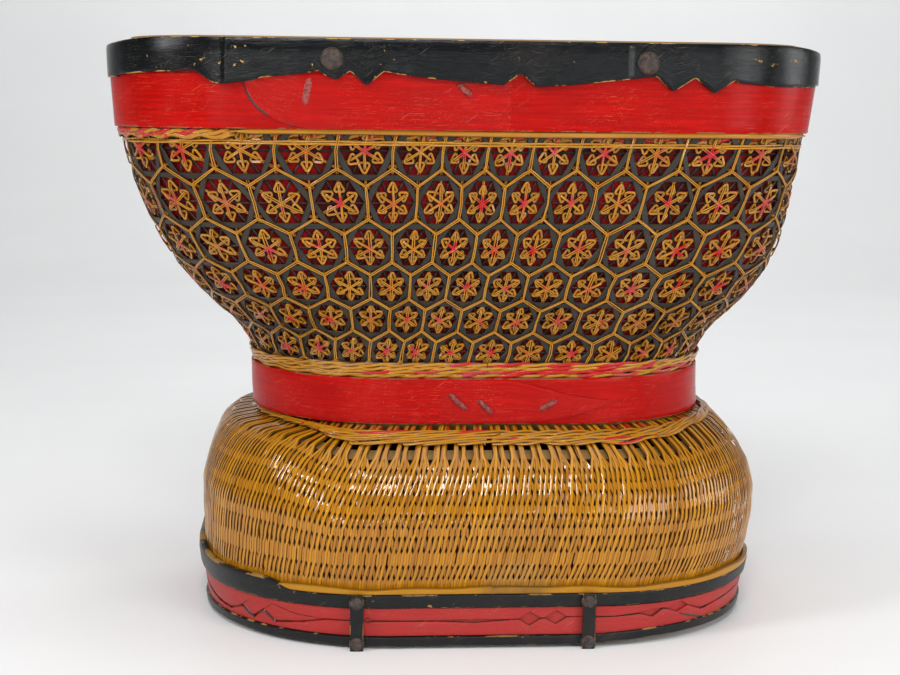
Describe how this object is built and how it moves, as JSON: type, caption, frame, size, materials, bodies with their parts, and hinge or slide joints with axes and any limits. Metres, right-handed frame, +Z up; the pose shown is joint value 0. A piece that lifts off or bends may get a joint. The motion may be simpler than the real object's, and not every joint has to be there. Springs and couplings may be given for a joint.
{
  "type": "hourglass basket",
  "caption": "Hourglass basket with a lacquered hooped rim, a flower-lattice bowl, a narrow red waist and a closely woven belly on a hooped base.",
  "frame": {"origin": "the point under the middle of the rim, on the surface that the basket stands on", "axes": "+X to the right along the longer side of the rim, +Y from the front to the back, +Z up"},
  "size_m": [0.355, 0.2294, 0.291],
  "materials": {
    "black_lacquer": "black lacquer over split bamboo, chipped at the edges",
    "red_lacquer": "red lacquer over split bamboo",
    "red_lining": "dark red lacquer over a close inner layer of splint",
    "golden_splint": "varnished golden splint",
    "natural_bamboo": "bare split bamboo",
    "iron": "rusty brown iron"
  },
  "bodies": {
    "root": {"base_inner_hoop": "natural_bamboo", "base_lower_black_hoop": "black_lacquer", "base_lower_red_strip": "red_lacquer", "base_natural_hoop": "natural_bamboo", "base_upper_black_hoop": "black_lacquer", "base_upper_red_strip": "red_lacquer", "belly_weave": "golden_splint", "flower_lattice": "golden_splint", "lower_twined_rings": "golden_splint", "red_lining": "red_lining", "rim_black_hoop": "black_lacquer", "rim_inner_hoop": "natural_bamboo", "rim_nail_back_left": "iron", "rim_nail_back_right": "iron", "rim_nail_front_left": "iron", "rim_nail_front_right": "iron", "rim_red_hoop": "red_lacquer", "rim_stitch_1": "red_lacquer", "rim_stitch_2": "red_lacquer", "rim_strip": "natural_bamboo", "shoulder_coil": "natural_bamboo", "strap_left": "black_lacquer", "strap_nail_back_left_high": "iron", "strap_nail_back_left_low": "iron", "strap_nail_back_right_high": "iron", "strap_nail_back_right_low": "iron", "strap_nail_front_left_high": "iron", "strap_nail_front_left_low": "iron", "strap_nail_front_right_high": "iron", "strap_nail_front_right_low": "iron", "strap_right": "black_lacquer", "upper_twined_rings": "golden_splint", "waist_inner_hoop": "natural_bamboo", "waist_red_hoop": "red_lacquer", "waist_stitch_1": "red_lacquer", "waist_stitch_2": "red_lacquer", "waist_stitch_3": "red_lacquer", "woven_floor": "golden_splint"}
  },
  "joints": []
}
